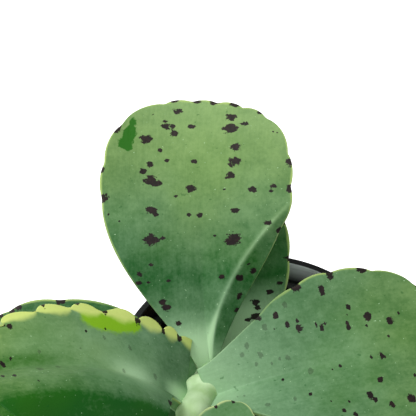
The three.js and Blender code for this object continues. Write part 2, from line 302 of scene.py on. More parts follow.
def underside_finish(name, green):
    """Paler dull skin below a leaf."""
    skin = Finish(name, roughness=0.6)
    clouds = skin.noise(45, 4)
    specks = skin.noise(800, 2)
    colour = skin.blend(skin.mask(clouds, 0.3, 0.75), green, BLOOM)
    wavy = skin.math("MULTIPLY_ADD", skin.noise(140, 2), 0.9, -0.45)
    margin = skin.math("ADD", skin.mark("margin_mm"), wavy)
    rim = skin.math("SUBTRACT", 1.0, skin.mask(margin, 0.3, 1.4))
    colour = skin.blend(rim, colour, MARGIN_YELLOW)
    depth = skin.math("MULTIPLY_ADD", skin.noise(620, 4, roughness=0.7), 0.9, -0.5)
    blotch = skin.math("ADD", skin.mark("blotch"), depth)
    pigment = skin.math("MULTIPLY", skin.mask(blotch, 0.02, 0.2), 0.8)
    colour = skin.blend(pigment, colour, OLD_PURPLE)
    return skin.finish(colour, None, specks, 0.0001)


LEAF_SKIN = leaf_finish("leaf_skin", FLESH, -0.16, 0.18)
LOWER_SKIN = leaf_finish("lower_leaf_skin", FLESH, -0.2, 0.1)
YOUNG_SKIN = leaf_finish("young_leaf_skin", YOUNG_FLESH, -0.1, 0.2, yellow=YOUNG_MARGIN)
UNDERSIDE = underside_finish("leaf_underside", UNDERSIDE_GREEN)
SKINS = {"leaf_skin": LEAF_SKIN, "lower_leaf_skin": LOWER_SKIN, "young_leaf_skin": YOUNG_SKIN}
print("leaf finishes:", len(SKINS))

# %% [markdown]
# Every leaf grows by one plan. It is laid out flat first: a narrow base that widens, then a round end.
# Notches cut the margin into scallops. The flat plan is then carried by a midrib, a line that walks away
# from the stem while it turns and bends, and each half is curled about it. The numbers are the same as
# those of the solid model, so most of the skin lies within half a millimetre of the solid. The solid has
# no crease and no bent shoulder: the skin of the left leaf leaves it by up to 13 mm at the shoulder.
# Pairs are for the left and the right half.

# %% Leaf sizes, in millimetres and degrees
BIG_LEAF = dict(
    sway=0, arch=-24, length=90, half=(31, 31), valley=(2, 2), curl=(12, 12), clasp=25,
    waist=(0.16, 0.16), swell=(1.35, 1.35), widest=0.66, square=2.4, roll=0, thick=1.0,
    bloom=((0, 0.6), (0.12, 0.5), (0.3, 0.3), (1, 0.36)), columns=48, rows=72, scallop=1.1,
    notches=(0.5, 0.95, 1.3, 1.65, 2.1, 2.5, 2.9, 3.4), slot="leaf_skin",
)
LOW_LEAF = dict(
    BIG_LEAF, length=82, half=(29, 29), bloom=((0, 0.5), (0.2, 0.2), (1, 0.16)), slot="lower_leaf_skin",
)
YOUNG_LEAF = dict(
    BIG_LEAF, length=31, half=(12, 12), curl=(18, 18), clasp=20, waist=(0.3, 0.3), thick=0.8,
    columns=32, rows=40, scallop=0.8, notches=(0.6, 1.1, 1.5, 1.85, 2.2, 2.6, 3.0, 3.4),
    slot="young_leaf_skin",
)
TIP_LEAF = dict(
    YOUNG_LEAF, length=15, half=(5.5, 5.5), arch=-10, curl=(30, 30), thick=0.55,
    columns=20, rows=24, scallop=0.3,
)
LEAVES = {
    "leaf_right": dict(
        BIG_LEAF, base=(-18, -19, 113), turn=11, sway=-2, rise=20, arch=-18, length=81, half=(29.5, 31),
        valley=(0, 0), curl=(14, 14), clasp=40, waist=(0.34, 0.2), swell=(1.6, 1.35), widest=0.6, roll=2,
        notches=(0.6, 1.1, 1.5, 1.85, 2.2, 2.46, 2.74, 3.01, 3.24, 3.52),
        bloom=((0, 0.85), (0.12, 0.7), (0.3, 0.42), (0.5, 0.34), (1, 0.32)),
    ),
    "leaf_left": dict(
        BIG_LEAF, base=(-24, -22, 112.5), turn=176.6, sway=30, rise=58.8, arch=-50, length=84,
        half=(37, 25), valley=(36, 5), curl=(-110, 10), clasp=4, waist=(0.05, 1), swell=(5, 0.88),
        widest=0.38, square=2.2, roll=15, scallop=3.4,
        notches=(0.19, 0.4, 0.72, 1.05, 1.18, 1.33, 1.5, 1.75, 2.1, 2.5, 2.9, 3.4),
    ),
    "leaf_back": dict(
        BIG_LEAF, base=(-17, -5, 102), turn=99, sway=-16, rise=46, arch=-26, length=93.5, half=(34, 31),
        valley=(0, 0), curl=(10, 10), waist=(0.1, 0.1), swell=(1.55, 1.55), square=2.7, roll=-7,
        # the cover peaks near the base: thick wax, with painted light on a base that lies in shade
        bloom=(
            (0, 1.0), (0.08, 1.4), (0.16, 0.9), (0.25, 0.3), (0.35, 0.16), (0.45, 0.2), (0.65, 0.38),
            (0.9, 0.56), (1, 0.6),
        ),
        notches=(0.8, 1.05, 1.28, 1.58, 1.75, 1.93, 2.1, 2.27, 2.56, 2.82, 3.03),
    ),
    "leaf_front": dict(BIG_LEAF, base=(-17, -16, 103), turn=268, rise=13, arch=-22),
    "leaf_left_lower": dict(
        LOW_LEAF, base=(-16, -7, 92), turn=169, sway=23, rise=11, arch=-14, half=(31, 28.5),
        curl=(14, 14), swell=(0.9, 0.9), widest=0.67,
    ),
    "leaf_right_lower": dict(LOW_LEAF, base=(-11, -8, 93), turn=352, rise=20, arch=-26),
    "leaf_back_lower": dict(
        LOW_LEAF, base=(-8, 1, 84), turn=98, sway=-4, rise=38, arch=-24, length=73.5, half=(27, 23.5),
        # the cover is high near the base: painted light on a base that lies in shade
        valley=(4, 4), curl=(14, 14), widest=0.6, bloom=((0, 1.2), (0.35, 0.9), (0.5, 0.2), (1, 0.14)),
    ),
    "leaf_front_lower": dict(LOW_LEAF, base=(-9, -4, 84), turn=296, rise=30, arch=-40, length=76),
    "young_leaf_back": dict(
        YOUNG_LEAF, base=(-29, -47, 120.8), turn=25, rise=20, arch=-22, half=(11, 12.5),
    ),
    "young_leaf_front": dict(
        YOUNG_LEAF, base=(-33, -45, 122), turn=205, rise=34, arch=-26, length=36,
    ),
    "tip_leaf_left": dict(TIP_LEAF, base=(-32, -53, 125.5), turn=290, rise=50),
    "tip_leaf_right": dict(TIP_LEAF, base=(-33, -51, 127), turn=110, rise=62),
}
LOWER_ROWS = 0.62
BASE_THICK = 4.2
TIP_THICK = 2.0
EDGE_THICK = 0.5
MIDRIB_STEPS = 60
FIRST_NOTCH, LAST_NOTCH = -0.35, 4.35
NOTCH_SHARPNESS = 0.55
NOTCH_SHARE = 0.25
EDGE_POWER = 8
LEFT, RIGHT = 0, 1


# %% Midrib and flat plan of a leaf
def midrib_of(leaf):
    """Places, sideways directions and upward directions along the middle line."""
    share = np.linspace(0, 1, MIDRIB_STEPS + 1)
    turn = np.radians(leaf["turn"] + leaf["sway"] * share)
    rise = np.radians(leaf["rise"] + leaf["arch"] * share)
    roll = np.radians(leaf["roll"])
    ahead = np.stack([np.cos(rise) * np.cos(turn), np.cos(rise) * np.sin(turn), np.sin(rise)], -1)
    level = np.stack([-np.sin(turn), np.cos(turn), 0 * turn], -1)
    side = level * np.cos(roll) + np.cross(ahead, level) * np.sin(roll)
    up = np.cross(ahead, side)
    steps = np.vstack([np.zeros(3), ahead[:-1]]) * leaf["length"] / MIDRIB_STEPS
    return np.array(leaf["base"]) + np.cumsum(steps, axis=0), side, up


def notch_depth(leaf, place):
    """1 in a notch of the margin, 0 on the crown of a scallop. Places run 0 to 4 round the margin."""
    notches = np.array((FIRST_NOTCH, *leaf["notches"], LAST_NOTCH))
    nearest = np.clip(np.searchsorted(notches, place), 1, len(notches) - 1)
    low, high = notches[nearest - 1], notches[nearest]
    within = (place - low) / (high - low)
    return 1 - np.sin(np.pi * np.clip(within, 0, 1)) ** NOTCH_SHARPNESS


def flat_plan(leaf, column, row):
    """Flat place, closeness to the margin and place round it, for grid places in -1..1 and 0..1."""
    half = np.where(column < 0, leaf["half"][RIGHT], leaf["half"][LEFT])
    waist = np.where(column < 0, leaf["waist"][RIGHT], leaf["waist"][LEFT])
    swell = np.where(column < 0, leaf["swell"][RIGHT], leaf["swell"][LEFT])
    widest_at = leaf["widest"] * leaf["length"]
    share = np.clip(row / LOWER_ROWS, 0, 1)
    widening = np.sin(np.pi / 2 * share) ** swell
    width = half * (waist + (1 - waist) * widening)
    climb = np.clip((row - LOWER_ROWS) / (1 - LOWER_ROWS), 0, 1)
    x = column * np.sqrt(1 - climb**2 / 2)
    y = climb * np.sqrt(1 - column**2 / 2)
    reach = np.maximum(np.hypot(x, y), 1e-9)
    power = leaf["square"]
    squared = ((np.abs(x) / reach) ** power + (y / reach) ** power) ** (-1 / power)
    stretch = 1 + (squared - 1) * reach**2
    x, y = x * stretch, y * stretch
    upper = row > LOWER_ROWS
    edge = np.where(upper, np.maximum(np.abs(column), climb), np.abs(column))
    around = np.where(upper, 1 + np.arctan2(y, np.abs(x)) / (np.pi / 2), share)
    around = np.where(column < 0, around, 4 - around)
    dip = notch_depth(leaf, around) - NOTCH_SHARE
    fade = np.clip(np.minimum(around, 4 - around) / 0.25, 0.3, 1)
    inward = leaf["scallop"] * dip * fade * edge**EDGE_POWER
    lower_shrink = 1 - inward / np.maximum(width, 1)
    upper_shrink = 1 - inward / half
    above_widest = (leaf["length"] - widest_at) * y * upper_shrink
    across = np.where(upper, x * half * upper_shrink, column * width * lower_shrink)
    along = np.where(upper, widest_at + above_widest, widest_at * share)
    return along, across, edge, around


# %% [markdown]
# The tall rear leaf has a crease: a strip beside its right margin is bent back and lies in its own
# shade. The crease starts at the base and leaves the blade where the leaf is widest. The left leaf is
# bent down along a line on its near half, which makes its hanging shoulder. Neither bend
# is in the solid model.

# %% Section of a leaf
CREASED_LEAF = "leaf_back"
CREASE_REACH = 28
CREASE_ENDS = 0.6
CREASE_POWER = 1.9
CREASE_BEND = math.radians(36)
CREASE_SOFT = 0.9
LOBED_LEAF = "leaf_left"
SHOULDER_PLACE = 16.5
SHOULDER_START, SHOULDER_END, SHOULDER_FADE = 0.12, 0.97, 0.2


def crease_distance(name, share, across):
    """How far a place lies beyond the crease, in millimetres, and how sharp the bend is there."""
    if name == LOBED_LEAF:
        begun = np.clip((share - SHOULDER_START) / SHOULDER_FADE, 0, 1)
        left_over = np.clip((SHOULDER_END - share) / SHOULDER_FADE, 0, 1)
        return np.abs(across) - SHOULDER_PLACE, begun * left_over * (across > 0)
    line = CREASE_REACH * (share / CREASE_ENDS) ** CREASE_POWER
    sharp = np.clip((CREASE_ENDS + 0.08 - share) / 0.14, 0, 1) * (across < 0)
    return np.abs(across) - line, sharp


def leaf_surface(name, leaf, along, across):
    """Points of the upper face, and the directions square to it."""
    places, sides, ups = midrib_of(leaf)
    share = np.clip(along / leaf["length"], 0, 1)
    spot = along / leaf["length"] * MIDRIB_STEPS
    step = np.clip(np.floor(spot).astype(int), 0, MIDRIB_STEPS - 1)
    within = (spot - step)[..., None]
    at = places[step] * (1 - within) + places[step + 1] * within
    side = sides[step] * (1 - within) + sides[step + 1] * within
    up = ups[step] * (1 - within) + ups[step + 1] * within
    right_hand = across < 0
    half = np.where(right_hand, leaf["half"][RIGHT], leaf["half"][LEFT])
    valley = np.where(right_hand, leaf["valley"][RIGHT], leaf["valley"][LEFT])
    curl = np.radians(np.where(right_hand, leaf["curl"][RIGHT], leaf["curl"][LEFT]))
    start = np.radians(valley + leaf["clasp"] * (1 - share) ** 2)
    end = start + curl * np.abs(across) / half
    outward = np.sign(across)
    sideways = half * (np.sin(end) - np.sin(start)) / curl
    upwards = half * (np.cos(start) - np.cos(end)) / curl
    if name in (CREASED_LEAF, LOBED_LEAF):
        beyond, sharp = crease_distance(name, share, across)
        bent = (beyond + np.sqrt(beyond**2 + CREASE_SOFT**2)) / 2 * sharp
        sideways = sideways - bent * (1 - math.cos(CREASE_BEND))
        upwards = upwards - bent * math.sin(CREASE_BEND)
    point = at + side * (outward * sideways)[..., None] + up * upwards[..., None]
    square = up * np.cos(end)[..., None] - side * (outward * np.sin(end))[..., None]
    return point, square


# %% [markdown]
# Each leaf starts as a grid primitive. Its vertices are carried onto the leaf's surface, where slow
# waves make the blade uneven. Solidify then gives the flesh: a vertex group makes it thick along the
# middle and thin at the margin. One level of subdivision rounds the margin.

# %% Leaf shape
WAVE_HEIGHT = 0.35


def set_marks(mesh, **marks):
    """Stores one number per vertex under each name."""
    for name, values in marks.items():
        layer = mesh.attributes.new(name, "FLOAT", "POINT")
        layer.data.foreach_set("value", np.asarray(values, dtype=np.float32).ravel())


def read_mark(mesh, name):
    """The numbers stored under a name, one per vertex."""
    values = np.zeros(len(mesh.vertices), dtype=np.float32)
    mesh.attributes[name].data.foreach_get("value", values)
    return values.astype(float)


def corners_of(mesh):
    """Places of all vertices, one row each."""
    flat = np.zeros(len(mesh.vertices) * 3, dtype=np.float32)
    mesh.vertices.foreach_get("co", flat)
    return flat.reshape(-1, 3).astype(float)


def model_leaf(name, leaf, seed):
    """A leaf as one closed mesh with marks for its material."""
    deselect_all()
    bpy.ops.mesh.primitive_grid_add(x_subdivisions=leaf["columns"], y_subdivisions=leaf["rows"], size=2)
    piece = bpy.context.object
    piece.name = name + "_skin"
    mesh = piece.data
    grid = corners_of(mesh)
    column, row = -grid[:, 0], (grid[:, 1] + 1) / 2
    along, across, edge, around = flat_plan(leaf, column, row)
    point, square = leaf_surface(name, leaf, along, across)
    scale = leaf["length"] / 90
    wave = np.sin(along / (9 * scale) + seed) * np.cos(across / (8 * scale) + seed * 1.7)
    ripple = np.sin(around * 9 + seed) * edge**4
    lift = WAVE_HEIGHT * scale * (wave * 0.6 + ripple * 1.1) * np.clip(along / leaf["length"] * 3, 0, 1)
    point = (point + square * lift[:, None]) * MM
    mesh.vertices.foreach_set("co", point.astype(np.float32).ravel())
    set_marks(mesh, along=along, across=across, edge=edge, around=around)
    plan = mesh.uv_layers[0]
    plan.name = "plan"
    corner_of = np.zeros(len(mesh.loops), dtype=np.int32)
    mesh.loops.foreach_get("vertex_index", corner_of)
    flat = np.stack([across, along], -1)[corner_of] * 0.01
    plan.data.foreach_set("uv", flat.astype(np.float32).ravel())
    share = np.clip(along / leaf["length"], 0, 1)
    fullness = np.sqrt(np.clip(1 - edge**6, 0, 1))
    thick = leaf["thick"] * (BASE_THICK + (TIP_THICK - BASE_THICK) * share) * fullness
    thick = np.maximum(thick, EDGE_THICK * leaf["thick"])
    group = piece.vertex_groups.new(name="flesh")
    for index, value in enumerate(thick / BASE_THICK):
        group.add([index], float(value), "REPLACE")
    solidify = piece.modifiers.new("flesh", "SOLIDIFY")
    solidify.thickness = BASE_THICK * MM
    solidify.offset = -1
    solidify.vertex_group = "flesh"
    solidify.material_offset = 1
    subdivide = piece.modifiers.new("round_margin", "SUBSURF")
    subdivide.levels = subdivide.render_levels = 1
    piece.data.materials.append(SKINS[leaf["slot"]])
    piece.data.materials.append(UNDERSIDE)
    bpy.ops.object.modifier_apply(modifier="flesh")
    bpy.ops.object.modifier_apply(modifier="round_margin")
    bpy.ops.object.shade_smooth()
    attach(piece, "root")
    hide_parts(name)
    return piece


leaf_pieces = {}
for order, (leaf_name, leaf_plan) in enumerate(LEAVES.items()):
    leaf_pieces[leaf_name] = model_leaf(leaf_name, leaf_plan, 1.3 * order)
print("leaf faces:", sum(len(piece.data.polygons) for piece in leaf_pieces.values()))

# %% [markdown]
# The blotches of the leaves that the photograph shows are placed by the pixel in which each one is seen:
# a sight line from the camera meets the leaf, and the nearest vertex says where that is on the flat
# plan. The places were read off the photograph. The third number is the blotch's half width in
# millimetres. The other leaves get their blotches from a seeded random draw, in loose rows across the
# blade. The mark of a faded blotch makes it paler, as if seen through the bloom.

# %% Places of the marks
BLOTCHES = {
    "leaf_back": [
        (178, 112, 2.0), (231, 117, 2.3), (245, 123, 1.6), (166, 126, 2.0), (174, 126, 1.2), (165, 121, 1.1),
        (173, 133, 1.8), (192, 127, 1.6), (230, 129, 3.0), (237, 128, 1.2), (145, 139, 2.7), (160, 150, 1.3),
        (237, 147, 2.4), (168, 160, 1.1), (150, 164, 1.7), (194, 161, 1.4), (235, 162, 2.8), (144, 172, 1.6),
        (152, 179, 2.8), (157, 184, 2.2), (231, 176, 2.2), (190, 188, 2.1), (253, 190, 1.8), (274, 186, 1.5),
        (272, 191, 0.8), (225, 190, 0.7), (151, 211, 2.5), (156, 215, 1.2), (189, 214, 1.2), (199, 214, 1.5),
        (235, 211, 1.8), (268, 222, 1.7), (152, 241, 3.2), (162, 238, 1.1), (233, 239, 3.5), (216, 235, 0.8),
        (151, 265, 1.0), (140, 275, 1.6), (139, 283, 1.4), (148, 282, 0.7), (169, 282, 1.0), (222, 276, 1.3),
        (253, 271, 1.9), (249, 263, 1.0), (240, 279, 2.2), (239, 295, 1.9), (163, 300, 1.6), (166, 308, 1.9),
        (236, 310, 1.7), (178, 324, 1.4), (273, 131, 0.6), (277, 132, 0.5), (108, 215, 0.4), (153, 115, 0.4),
        (119, 221, 0.5), (175, 197, 0.9),
    ],
    "leaf_back_lower": [
        (270, 291, 1.7), (255, 302, 2.1), (258, 308, 1.6), (256, 317, 2.2), (248, 320, 1.2), (280, 283, 1.2),
    ],
    "leaf_right": [
        (322, 289, 2.0), (285, 305, 1.6), (348, 306, 1.3), (277, 316, 1.5), (367, 316, 2.0), (389, 320, 1.9),
        (398, 313, 0.9), (265, 327, 1.5), (274, 329, 0.6), (287, 325, 1.5), (297, 322, 1.3), (300, 328, 1.8),
        (317, 325, 1.0), (322, 329, 1.6), (325, 323, 1.1), (347, 324, 1.3), (349, 328, 1.2), (367, 326, 0.7),
        (260, 355, 1.4), (287, 357, 1.4), (310, 371, 1.6), (371, 357, 1.1), (383, 357, 1.8), (340, 366, 1.0),
        (333, 370, 0.6), (282, 380, 1.0), (381, 380, 1.5), (310, 394, 1.0), (295, 399, 1.2), (267, 405, 1.5),
        (370, 395, 2.0), (375, 399, 1.5), (392, 404, 1.6), (411, 399, 2.2), (415, 375, 0.8), (344, 411, 1.1),
        (356, 414, 1.3), (350, 402, 0.7), (256, 364, 1.0), (271, 363, 0.8), (279, 359, 0.8), (244, 396, 0.7),
        (237, 397, 0.6), (389, 336, 0.6), (347, 315, 0.4), (331, 401, 0.5), (247, 346, 1.6), (243, 355, 1.2),
    ],
    "leaf_left": [
        (87, 331, 0.9), (105, 329, 0.6), (105, 338, 1.3), (130, 348, 1.3), (38, 351, 1.0), (82, 349, 0.6),
        (40, 369, 1.8), (59, 367, 1.7), (10, 358, 1.1), (3, 365, 1.6), (13, 375, 1.2), (2, 376, 1.1),
        (155, 377, 1.4), (123, 371, 1.1), (38, 381, 0.7),
    ],
    "leaf_left_lower": [(64, 301, 1.3), (13, 310, 1.6), (1, 315, 1.5), (55, 305, 0.6), (125, 311, 0.8)],
}
FADED_BLOTCHES = {
    "leaf_right": [
        (260, 355), (256, 364), (271, 363), (279, 359), (287, 357), (265, 327), (267, 405), (295, 399),
        (310, 371), (244, 396), (237, 397), (247, 346), (243, 355), (285, 305),
    ],
    "leaf_left": [(40, 369), (59, 367), (130, 348), (155, 377), (123, 371), (82, 349), (105, 338), (38, 351)],
}
BARE_PATCHES = {
    "leaf_back": [(133, 122, 1.6), (131, 130, 2.2), (127, 139, 3.0), (122, 144, 1.6), (130, 148, 1.4)],
}
GOLDEN_PATCHES = {
    "leaf_left": [(90, 316, 4.5), (101, 318, 5.5), (113, 318, 5.5), (125, 321, 4.5), (135, 324, 3.0)],
}
SPOT_SCALE = 0.88
RANDOM_BLOTCHES = 30
YOUNG_BLOTCHES = 5
BLOTCH_ROWS = (0.25, 0.42, 0.58, 0.72, 0.84)
PATCH_GROUND = -0.45
PATCH_STRENGTH = 1.1
FADED_REACH = 3.0
FADED_SHARE = 0.6
LOBED_NOTCH_SCALE = 0.85


def meeting_point(tree, pixel):
    """Where the sight line of a pixel meets a piece, or None."""
    return tree.ray_cast(CAMERA_PLACE, sight_line(pixel))[0]


def flat_place_of(point, corners, along, across):
    """Where on the flat plan the vertex nearest to a point lies."""
    nearest = np.argmin(((corners - np.array(point)) ** 2).sum(1))
    return along[nearest], across[nearest]


def depth_in_spots(spots, along, across, wide=1.25):
    """How deep each vertex lies in the nearest spot: 1 in its middle, 0 on its edge, below 0 outside."""
    depth = np.full(len(along), -1.0)
    for spot_along, spot_across, size in spots:
        away = np.hypot((along - spot_along) / size * 1.3, (across - spot_across) / size / wide * 1.1)
        depth = np.maximum(depth, 1 - away)
    return np.clip(depth, -1, 1)


def patch_field(spots, along, across):
    """A soft field over a patch made of several rounds: above 0 inside it."""
    field = np.full(len(along), PATCH_GROUND)
    for spot_along, spot_across, size in spots:
        away = (along - spot_along) ** 2 + (across - spot_across) ** 2
        field += PATCH_STRENGTH * np.exp(-away / size**2)
    return np.clip(field, PATCH_GROUND, 1)


def random_spots(leaf, seed):
    """Spots in loose rows across a blade that the photograph doesn't show."""
    draw = random.Random(seed)
    scale = leaf["length"] / 90
    spots = []
    for _ in range(RANDOM_BLOTCHES if scale > 0.5 else YOUNG_BLOTCHES):
        row = draw.choice(BLOTCH_ROWS) + draw.uniform(-0.03, 0.03)
        column = draw.uniform(-0.85, 0.85)
        along, across, _, _ = flat_plan(leaf, np.array([column]), np.array([row]))
        spots.append((along[0], across[0], draw.uniform(0.6, 2.6) * scale))
    return spots


def notch_spots(name, leaf, seed):
    """A purple mark in every notch of the margin."""
    draw = random.Random(seed)
    scale = LOBED_NOTCH_SCALE if name == LOBED_LEAF else min(1, leaf["length"] / 60)
    spots = []
    for place in leaf["notches"]:
        hand = -1 if place < 2 else 1
        climbed = min(place, 4 - place)
        if climbed <= 1:
            column, row = hand, climbed * LOWER_ROWS
        else:
            angle = (climbed - 1) * math.pi / 2
            column = hand * min(1, math.tan(math.pi / 2 - angle) if angle > 0.01 else 1)
            row = LOWER_ROWS + (1 - LOWER_ROWS) * min(1, math.tan(angle) if angle < 1.56 else 1)
        along, across, _, _ = flat_plan(leaf, np.array([float(column)]), np.array([row]))
        spots.append((along[0], across[0], draw.uniform(1.4, 2.3) * scale))
    return spots


# %% Lay the marks on the leaves
# cover across the left leaf, from far margin (-1) to near margin (1): beyond the shoulder it drops to bare
# flesh, painted shade on the hanging half
NEAR_HALF_BLOOM_AND_SHADE = (
    (-1, 0.5), (-0.3, 0.48), (0, 0.36), (0.36, 0.24), (0.48, -0.05), (0.8, -0.05), (1, 0.15),
)
# a painted highlight along the crease of the rear leaf, and painted shade on its bent strip, strongest near
# the base
CREASE_PAINTED_HIGHLIGHT = 0.45
STRIP_SHADE = 0.05
STRIP_BASE_SHADE = 0.65


def mark_leaf(name, leaf, piece, seed):
    """Stores every mark that the leaf's material reads."""
    mesh = piece.data
    corners = corners_of(mesh)
    along, across = read_mark(mesh, "along"), read_mark(mesh, "across")
    edge, around = read_mark(mesh, "edge"), read_mark(mesh, "around")
    tree = BVHTree.FromObject(piece, bpy.context.evaluated_depsgraph_get())

    def placed(pixels):
        spots = []
        for pixel_x, pixel_y, size in pixels:
            point = meeting_point(tree, (pixel_x, pixel_y))
            if point is not None:
                spots.append((*flat_place_of(point, corners, along, across), size * SPOT_SCALE))
        return spots

    spots = placed(BLOTCHES.get(name, []))
    if not spots:
        spots = random_spots(leaf, seed)
    blotch = depth_in_spots(spots, along, across)
    notch = depth_in_spots(notch_spots(name, leaf, seed + 50), along, across, 1.2)
    bare = patch_field(placed(BARE_PATCHES.get(name, [])), along, across)
    golden = patch_field(placed(GOLDEN_PATCHES.get(name, [])), along, across)
    washed = [(x, y, FADED_REACH) for x, y in FADED_BLOTCHES.get(name, [])]
    faded = np.clip(depth_in_spots(placed(washed), along, across) * 3, 0, 1) * FADED_SHARE
    share = np.clip(along / leaf["length"], 0, 1)
    bloom = np.interp(share, *zip(*leaf["bloom"]))
    if name == CREASED_LEAF:
        beyond, sharp = crease_distance(name, share, across)
        # along the crease the cover is raised, a painted highlight; beyond it the bent strip gets less,
        # painted shade on top of its real shade
        bloom = bloom + CREASE_PAINTED_HIGHLIGHT * np.exp(-((beyond / 1.2) ** 2)) * sharp
        shaded = STRIP_SHADE + STRIP_BASE_SHADE * np.clip((0.27 - share) / 0.12, 0, 1)
        bloom = bloom - shaded * np.clip(beyond / 1.5, 0, 1) * sharp
    half = np.where(across < 0, leaf["half"][RIGHT], leaf["half"][LEFT])
    margin_mm = (1 - edge) * half
    rim = np.clip((np.minimum(around, 4 - around) - 0.35) / 0.6, 0.12, 1)
    lobe = np.zeros(len(along))
    if name == LOBED_LEAF:
        width = across / half
        # the cover follows the width profile, with its painted shade beyond the shoulder
        bloom = np.interp(width, *zip(*NEAR_HALF_BLOOM_AND_SHADE))
        # painted shade on the far wing by the stem, a painted highlight on the bulge near the base, a painted
        # shadow on the far side of the midrib towards the tip; the base by the stem is paler
        wing_painted_shade = np.clip((0.2 - share) / 0.08, 0, 1) * np.clip((-0.15 - width) / 0.15, 0, 1)
        puff_painted_highlight = np.exp(-(((share - 0.32) / 0.12) ** 2) - ((width / 0.25) ** 2))
        shadow = np.clip((share - 0.55) / 0.2, 0, 1) * np.exp(-(((width + 0.14) / 0.12) ** 2))
        base = np.clip((0.17 - share) / 0.08, 0, 1) * np.clip((width + 0.35) / 0.3, 0, 1)
        bloom = bloom - 0.2 * wing_painted_shade + 0.6 * puff_painted_highlight - 0.3 * shadow + 0.8 * base
        rim = rim * (width < 0)
        crown = 1 - notch_depth(leaf, around)
        far_side = np.clip((2.0 - around) / 0.3, 0, 1)
        lobe = np.clip(1.5 - margin_mm / (1.0 + 3.2 * crown), 0, 1.5) * far_side
    set_marks(
        mesh, blotch=np.maximum(blotch, notch), bare=bare, faded=faded, bloom=bloom, margin_mm=margin_mm,
        rim=rim, lobe=lobe, golden=golden,
    )
    print(name, "spots:", len(spots), "vertices:", len(corners))


for order, (leaf_name, piece) in enumerate(leaf_pieces.items()):
    mark_leaf(leaf_name, LEAVES[leaf_name], piece, 7 + order)

# %% [markdown]
# The stem is smooth and pale. Where a pair of leaves sits, the two leaf bases are joined round it into a
# sleeve with a rounded lip, and the next length of stem comes out of that. It is modelled along the same
# middle line as the solid: a circle primitive is extruded from ring to ring, so that each ring can have
# its own radius. The last rings draw in to a round tip.

# %% Stem
STEM_LINE = [
    (-3, 4, 62), (-6, 2, 76), (-10, -1, 86), (-14, -4, 95), (-17, -8, 103),
    (-20, -19, 112.5), (-25, -33, 118), (-30, -46, 122.5), (-32, -53, 128),
]
STEM_RADIUS = 5.4
STEM_TIP_RADIUS = 3
STEM_RIB = 0.12
STEM_CLOSING_RINGS = 5
STEM_SIDES = 32
STEM_RINGS = 160
STEM_NODES = ((0.225, 1.4), (0.345, 1.6), (0.49, 1.2), (0.6, 2.2), (0.7, 0.8), (0.85, 0.8))
SLEEVE_RISE = 0.035
SLEEVE_LIP = 0.012


def smooth_line(points, count):
    """Points at even shares along a smooth curve through the given ones."""
    points = [Vector(point) for point in points]
    ends = [points[0] * 2 - points[1], *points, points[-1] * 2 - points[-2]]
    line = []
    for index in range(count):
        spot = index / (count - 1) * (len(points) - 1)
        part = min(int(spot), len(points) - 2)
        t = spot - part
        a, b, c, d = ends[part:part + 4]
        bend = 2 * a - 5 * b + 4 * c - d
        twist = 3 * b - a - 3 * c + d
        line.append(0.5 * (2 * b + (c - a) * t + bend * t**2 + twist * t**3))
    return line


def stem_radius(share, angle):
    """Radius in millimetres, with a sleeve at each node and faint ribs."""
    taper = (STEM_TIP_RADIUS - STEM_RADIUS) * share**4
    radius = STEM_RADIUS + taper + STEM_RIB * math.sin(3 * angle + 9 * share)
    for node, height in STEM_NODES:
        past = share - node
        reach = SLEEVE_RISE if past < 0 else SLEEVE_LIP
        radius += height * math.exp(-((past / reach) ** 2))
    return radius


def model_stem():
    """The stem with its sleeves, as one closed mesh."""
    line = smooth_line(STEM_LINE, STEM_RINGS)
    deselect_all()
    bpy.ops.mesh.primitive_circle_add(vertices=STEM_SIDES, radius=STEM_RADIUS * MM, fill_type="NGON")
    piece = bpy.context.object
    piece.name = "stem_skin"
    bpy.ops.object.mode_set(mode="EDIT")
    for _ in range(STEM_RINGS - 1):
        bpy.ops.mesh.extrude_region_move(TRANSFORM_OT_translate={"value": (0, 0, MM)})
    bpy.ops.object.mode_set(mode="OBJECT")
    corners = corners_of(piece.data)
    side = Vector((1, 0, 0))
    for ring, middle in enumerate(line):
        before, after = line[max(0, ring - 1)], line[min(STEM_RINGS - 1, ring + 1)]
        ahead = (after - before).normalized()
        side = (side - ahead * side.dot(ahead)).normalized()
        other = ahead.cross(side)
        share = ring / (STEM_RINGS - 1)
        closing = math.sqrt(min(1, (STEM_RINGS - 1 - ring + 0.3) / STEM_CLOSING_RINGS))
        for index in np.flatnonzero(np.abs(corners[:, 2] - ring * MM) < MM / 4):
            angle = math.atan2(corners[index, 1], corners[index, 0])
            radius = stem_radius(share, angle) * closing
            place = middle + side * radius * math.cos(angle) + other * radius * math.sin(angle)
            piece.data.vertices[index].co = place * MM
    bpy.ops.object.mode_set(mode="EDIT")
    bpy.ops.mesh.select_all(action="SELECT")
    bpy.ops.mesh.normals_make_consistent(inside=False)
    bpy.ops.object.mode_set(mode="OBJECT")
    bpy.ops.object.shade_smooth()
    return piece


def stem_finish():
    skin = Finish("stem_skin", roughness=0.5, Specular_IOR_Level=0.35)
    clouds = skin.noise(120, 4)
    specks = skin.noise(900, 2)
    colour = skin.blend(skin.mask(clouds, 0.3, 0.7), paint(0.34, 0.52, 0.23), paint(0.50, 0.68, 0.40))
    colour = skin.blend(skin.mask(specks, 0.7, 0.85), colour, paint(0.30, 0.46, 0.18))
    return skin.finish(colour, None, clouds, 0.0003)


stem = model_stem()
stem.data.materials.append(stem_finish())
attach(stem, "root")
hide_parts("stem")
print("stem faces:", len(stem.data.polygons))

# %% [markdown]
# The pot is injection moulded, so it is one wall turned about its axis. Half of its outline is laid out
# as a line of edges and spun once round, then the drain holes are cut through the floor. The solid has
# flat sides, and the fine spin makes them round. Inside, the right half of the collar is painted pale
# grey, streaked by scuffs: a painted sheen on the black plastic.

